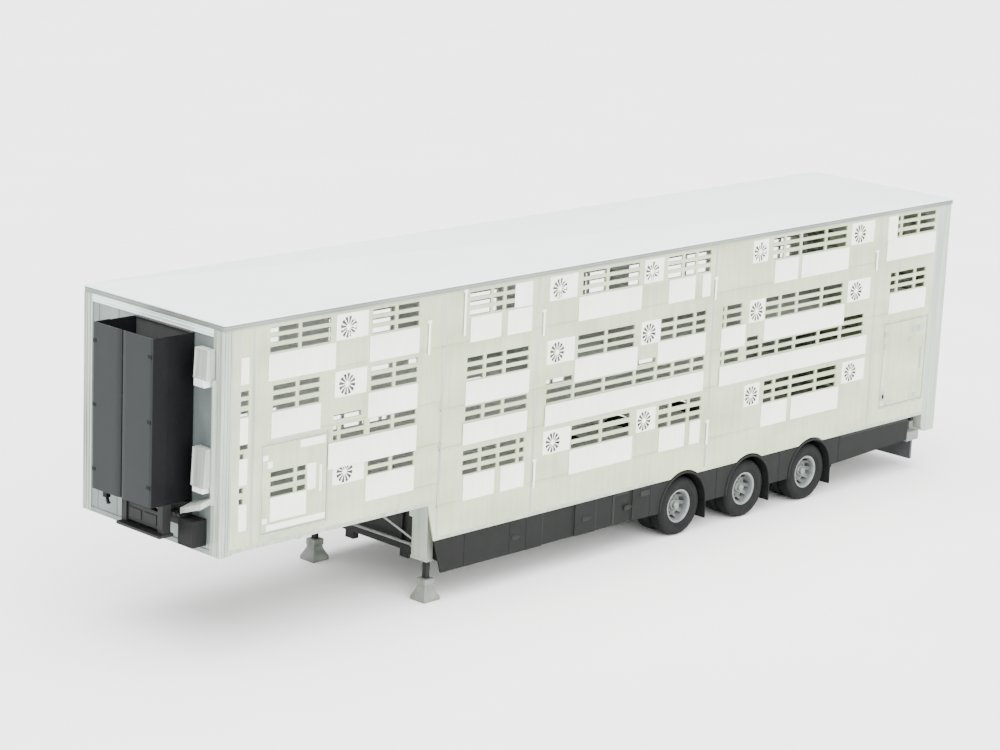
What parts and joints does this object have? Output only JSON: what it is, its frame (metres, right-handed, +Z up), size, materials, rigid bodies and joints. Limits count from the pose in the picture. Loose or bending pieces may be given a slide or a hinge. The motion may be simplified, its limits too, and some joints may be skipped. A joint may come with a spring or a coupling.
{
  "type": "livestock trailer",
  "caption": "Multi-deck livestock semi-trailer with slotted side windows, sliding shutters, side fans, a power unit on the front bulkhead, landing legs and a loading ramp.",
  "frame": {"origin": "on the ground under the middle of the trailer's box", "axes": "+X forward towards the tractor, +Y to the trailer's left, +Z up"},
  "size_m": [14.3, 2.55, 4],
  "materials": {
    "mill_aluminium": "brushed, weathered extrusions",
    "roof_sheet": "pale sheet, satin",
    "shutter_white": "white, satin",
    "fan_plastic": "off-white",
    "black_paint": "black chassis paint, semi-matt",
    "grey_moulding": "dark grey moulding",
    "unit_black": "black, semi-gloss",
    "unit_grey": "mid grey, satin",
    "galvanised_steel": "galvanised, dull",
    "rim_silver": "silver-grey wheel paint",
    "tyre_rubber": "worn black rubber"
  },
  "bodies": {
    "trailer": {"chassis_frame": "black_paint", "kingpin_plate": "black_paint", "floor": "mill_aluminium", "front_bulkhead": "mill_aluminium", "roof": "roof_sheet", "rear_frame": "mill_aluminium", "underrun_bar": "grey_moulding", "landing_gear_frame": "galvanised_steel", "power_unit_housing": "unit_black", "socket_box": "grey_moulding", "left_side_wall": "mill_aluminium", "right_side_wall": "mill_aluminium", "left_skirt": "grey_moulding", "right_skirt": "grey_moulding"},
    "rear_ramp": {"rear_ramp": "mill_aluminium"},
    "side_door_front": {"side_door_front": "mill_aluminium"},
    "side_door_rear": {"side_door_rear": "mill_aluminium"},
    "power_unit_door_left": {"power_unit_door_left": "unit_grey"},
    "power_unit_door_right": {"power_unit_door_right": "unit_grey"},
    "lifting_deck": {"lifting_deck": "mill_aluminium"},
    "left_leg": {"left_leg": "galvanised_steel"},
    "right_leg": {"right_leg": "galvanised_steel"},
    "left_shutters_top": {"left_shutters_top": "shutter_white"},
    "left_shutters_upper": {"left_shutters_upper": "shutter_white"},
    "left_shutters_lower": {"left_shutters_lower": "shutter_white"},
    "left_shutters_bottom": {"left_shutters_bottom": "shutter_white"},
    "right_shutters_top": {"right_shutters_top": "shutter_white"},
    "right_shutters_upper": {"right_shutters_upper": "shutter_white"},
    "right_shutters_lower": {"right_shutters_lower": "shutter_white"},
    "right_shutters_bottom": {"right_shutters_bottom": "shutter_white"},
    "axle_1": {"axle_1": "black_paint"},
    "left_wheel_1": {"left_wheel_1": "rim_silver", "left_tyre_1": "tyre_rubber"},
    "right_wheel_1": {"right_wheel_1": "rim_silver", "right_tyre_1": "tyre_rubber"},
    "axle_2": {"axle_2": "black_paint"},
    "left_wheel_2": {"left_wheel_2": "rim_silver", "left_tyre_2": "tyre_rubber"},
    "right_wheel_2": {"right_wheel_2": "rim_silver", "right_tyre_2": "tyre_rubber"},
    "axle_3": {"axle_3": "black_paint"},
    "left_wheel_3": {"left_wheel_3": "rim_silver", "left_tyre_3": "tyre_rubber"},
    "right_wheel_3": {"right_wheel_3": "rim_silver", "right_tyre_3": "tyre_rubber"},
    "fan_top_1": {"fan_top_1": "fan_plastic"},
    "fan_top_2": {"fan_top_2": "fan_plastic"},
    "fan_top_3": {"fan_top_3": "fan_plastic"},
    "fan_top_4": {"fan_top_4": "fan_plastic"},
    "fan_top_5": {"fan_top_5": "fan_plastic"},
    "fan_upper_1": {"fan_upper_1": "fan_plastic"},
    "fan_upper_2": {"fan_upper_2": "fan_plastic"},
    "fan_upper_3": {"fan_upper_3": "fan_plastic"},
    "fan_upper_4": {"fan_upper_4": "fan_plastic"},
    "fan_upper_5": {"fan_upper_5": "fan_plastic"},
    "fan_bottom_1": {"fan_bottom_1": "fan_plastic"},
    "fan_bottom_2": {"fan_bottom_2": "fan_plastic"},
    "fan_bottom_3": {"fan_bottom_3": "fan_plastic"},
    "fan_bottom_4": {"fan_bottom_4": "fan_plastic"},
    "fan_bottom_5": {"fan_bottom_5": "fan_plastic"}
  },
  "joints": [
    {"name": "rear_ramp_hinge", "type": "hinge", "parent": "trailer", "child": "rear_ramp", "pos_m": [-7.15, 0, 0.8], "axis": [0, -1, 0], "range_deg": [0, 105]},
    {"name": "side_door_front_hinge", "type": "hinge", "parent": "trailer", "child": "side_door_front", "pos_m": [5.905, 1.256, 1.9], "axis": [0, 0, -1], "range_deg": [0, 110]},
    {"name": "side_door_rear_hinge", "type": "hinge", "parent": "trailer", "child": "side_door_rear", "pos_m": [-5.775, 1.256, 1.9], "axis": [0, 0, -1], "range_deg": [0, 110]},
    {"name": "power_unit_door_left_hinge", "type": "hinge", "parent": "trailer", "child": "power_unit_door_left", "pos_m": [7.124, 0.77, 2.85], "axis": [0, 0, 1], "range_deg": [0, 110]},
    {"name": "power_unit_door_right_hinge", "type": "hinge", "parent": "trailer", "child": "power_unit_door_right", "pos_m": [7.124, -0.28, 2.85], "axis": [0, 0, -1], "range_deg": [0, 110]},
    {"name": "deck_lift", "type": "slide", "parent": "trailer", "child": "lifting_deck", "axis": [0, 0, 1], "range_m": [-1.5, 1.2]},
    {"name": "left_leg_jack", "type": "slide", "parent": "trailer", "child": "left_leg", "axis": [0, 0, 1], "range_m": [0, 0.2]},
    {"name": "right_leg_jack", "type": "slide", "parent": "trailer", "child": "right_leg", "axis": [0, 0, 1], "range_m": [0, 0.2]},
    {"name": "left_shutters_top_slide", "type": "slide", "parent": "trailer", "child": "left_shutters_top", "axis": [0, 0, 1], "range_m": [0, 0.31]},
    {"name": "left_shutters_upper_slide", "type": "slide", "parent": "trailer", "child": "left_shutters_upper", "axis": [0, 0, 1], "range_m": [0, 0.3]},
    {"name": "left_shutters_lower_slide", "type": "slide", "parent": "trailer", "child": "left_shutters_lower", "axis": [0, 0, 1], "range_m": [0, 0.24]},
    {"name": "left_shutters_bottom_slide", "type": "slide", "parent": "trailer", "child": "left_shutters_bottom", "axis": [0, 0, 1], "range_m": [0, 0.32]},
    {"name": "right_shutters_top_slide", "type": "slide", "parent": "trailer", "child": "right_shutters_top", "axis": [0, 0, 1], "range_m": [0, 0.31]},
    {"name": "right_shutters_upper_slide", "type": "slide", "parent": "trailer", "child": "right_shutters_upper", "axis": [0, 0, 1], "range_m": [0, 0.3]},
    {"name": "right_shutters_lower_slide", "type": "slide", "parent": "trailer", "child": "right_shutters_lower", "axis": [0, 0, 1], "range_m": [0, 0.24]},
    {"name": "right_shutters_bottom_slide", "type": "slide", "parent": "trailer", "child": "right_shutters_bottom", "axis": [0, 0, 1], "range_m": [0, 0.32]},
    {"name": "axle_1_travel", "type": "slide", "parent": "trailer", "child": "axle_1", "axis": [0, 0, 1], "range_m": [0, 0.045], "stiffness_N_per_m": 200000, "springref_m": -0.2},
    {"name": "left_wheel_1_spin", "type": "hinge", "parent": "axle_1", "child": "left_wheel_1", "pos_m": [-1.54, 1.095, 0.398], "axis": [0, 1, 0], "continuous": true},
    {"name": "right_wheel_1_spin", "type": "hinge", "parent": "axle_1", "child": "right_wheel_1", "pos_m": [-1.54, -1.095, 0.398], "axis": [0, 1, 0], "continuous": true},
    {"name": "axle_2_travel", "type": "slide", "parent": "trailer", "child": "axle_2", "axis": [0, 0, 1], "range_m": [0, 0.045], "stiffness_N_per_m": 200000, "springref_m": -0.2},
    {"name": "left_wheel_2_spin", "type": "hinge", "parent": "axle_2", "child": "left_wheel_2", "pos_m": [-2.89, 1.095, 0.398], "axis": [0, 1, 0], "continuous": true},
    {"name": "right_wheel_2_spin", "type": "hinge", "parent": "axle_2", "child": "right_wheel_2", "pos_m": [-2.89, -1.095, 0.398], "axis": [0, 1, 0], "continuous": true},
    {"name": "axle_3_travel", "type": "slide", "parent": "trailer", "child": "axle_3", "axis": [0, 0, 1], "range_m": [0, 0.045], "stiffness_N_per_m": 200000, "springref_m": -0.2},
    {"name": "left_wheel_3_spin", "type": "hinge", "parent": "axle_3", "child": "left_wheel_3", "pos_m": [-4.24, 1.095, 0.398], "axis": [0, 1, 0], "continuous": true},
    {"name": "right_wheel_3_spin", "type": "hinge", "parent": "axle_3", "child": "right_wheel_3", "pos_m": [-4.24, -1.095, 0.398], "axis": [0, 1, 0], "continuous": true},
    {"name": "fan_top_1_spin", "type": "hinge", "parent": "trailer", "child": "fan_top_1", "pos_m": [4.63, 1.237, 3.72], "axis": [0, 1, 0], "continuous": true},
    {"name": "fan_top_2_spin", "type": "hinge", "parent": "trailer", "child": "fan_top_2", "pos_m": [1.07, 1.237, 3.72], "axis": [0, 1, 0], "continuous": true},
    {"name": "fan_top_3_spin", "type": "hinge", "parent": "trailer", "child": "fan_top_3", "pos_m": [-0.66, 1.237, 3.72], "axis": [0, 1, 0], "continuous": true},
    {"name": "fan_top_4_spin", "type": "hinge", "parent": "trailer", "child": "fan_top_4", "pos_m": [-2.84, 1.237, 3.72], "axis": [0, 1, 0], "continuous": true},
    {"name": "fan_top_5_spin", "type": "hinge", "parent": "trailer", "child": "fan_top_5", "pos_m": [-5.02, 1.237, 3.72], "axis": [0, 1, 0], "continuous": true},
    {"name": "fan_upper_1_spin", "type": "hinge", "parent": "trailer", "child": "fan_upper_1", "pos_m": [4.63, 1.237, 3.04], "axis": [0, 1, 0], "continuous": true},
    {"name": "fan_upper_2_spin", "type": "hinge", "parent": "trailer", "child": "fan_upper_2", "pos_m": [1.07, 1.237, 2.905], "axis": [0, 1, 0], "continuous": true},
    {"name": "fan_upper_3_spin", "type": "hinge", "parent": "trailer", "child": "fan_upper_3", "pos_m": [-0.66, 1.237, 2.905], "axis": [0, 1, 0], "continuous": true},
    {"name": "fan_upper_4_spin", "type": "hinge", "parent": "trailer", "child": "fan_upper_4", "pos_m": [-2.84, 1.237, 2.905], "axis": [0, 1, 0], "continuous": true},
    {"name": "fan_upper_5_spin", "type": "hinge", "parent": "trailer", "child": "fan_upper_5", "pos_m": [-5.02, 1.237, 2.905], "axis": [0, 1, 0], "continuous": true},
    {"name": "fan_bottom_1_spin", "type": "hinge", "parent": "trailer", "child": "fan_bottom_1", "pos_m": [4.63, 1.237, 1.98], "axis": [0, 1, 0], "continuous": true},
    {"name": "fan_bottom_2_spin", "type": "hinge", "parent": "trailer", "child": "fan_bottom_2", "pos_m": [1.07, 1.237, 1.735], "axis": [0, 1, 0], "continuous": true},
    {"name": "fan_bottom_3_spin", "type": "hinge", "parent": "trailer", "child": "fan_bottom_3", "pos_m": [-0.66, 1.237, 1.735], "axis": [0, 1, 0], "continuous": true},
    {"name": "fan_bottom_4_spin", "type": "hinge", "parent": "trailer", "child": "fan_bottom_4", "pos_m": [-2.84, 1.237, 1.735], "axis": [0, 1, 0], "continuous": true},
    {"name": "fan_bottom_5_spin", "type": "hinge", "parent": "trailer", "child": "fan_bottom_5", "pos_m": [-5.02, 1.237, 1.735], "axis": [0, 1, 0], "continuous": true}
  ],
  "couplings": [
    {"joint": "right_leg_jack", "follows": "left_leg_jack", "ratio": 1},
    {"joint": "fan_top_2_spin", "follows": "fan_top_1_spin", "ratio": 1},
    {"joint": "fan_top_3_spin", "follows": "fan_top_1_spin", "ratio": 1},
    {"joint": "fan_top_4_spin", "follows": "fan_top_1_spin", "ratio": 1},
    {"joint": "fan_top_5_spin", "follows": "fan_top_1_spin", "ratio": 1},
    {"joint": "fan_upper_1_spin", "follows": "fan_top_1_spin", "ratio": 1},
    {"joint": "fan_upper_2_spin", "follows": "fan_top_1_spin", "ratio": 1},
    {"joint": "fan_upper_3_spin", "follows": "fan_top_1_spin", "ratio": 1},
    {"joint": "fan_upper_4_spin", "follows": "fan_top_1_spin", "ratio": 1},
    {"joint": "fan_upper_5_spin", "follows": "fan_top_1_spin", "ratio": 1},
    {"joint": "fan_bottom_1_spin", "follows": "fan_top_1_spin", "ratio": 1},
    {"joint": "fan_bottom_2_spin", "follows": "fan_top_1_spin", "ratio": 1},
    {"joint": "fan_bottom_3_spin", "follows": "fan_top_1_spin", "ratio": 1},
    {"joint": "fan_bottom_4_spin", "follows": "fan_top_1_spin", "ratio": 1},
    {"joint": "fan_bottom_5_spin", "follows": "fan_top_1_spin", "ratio": 1}
  ]
}
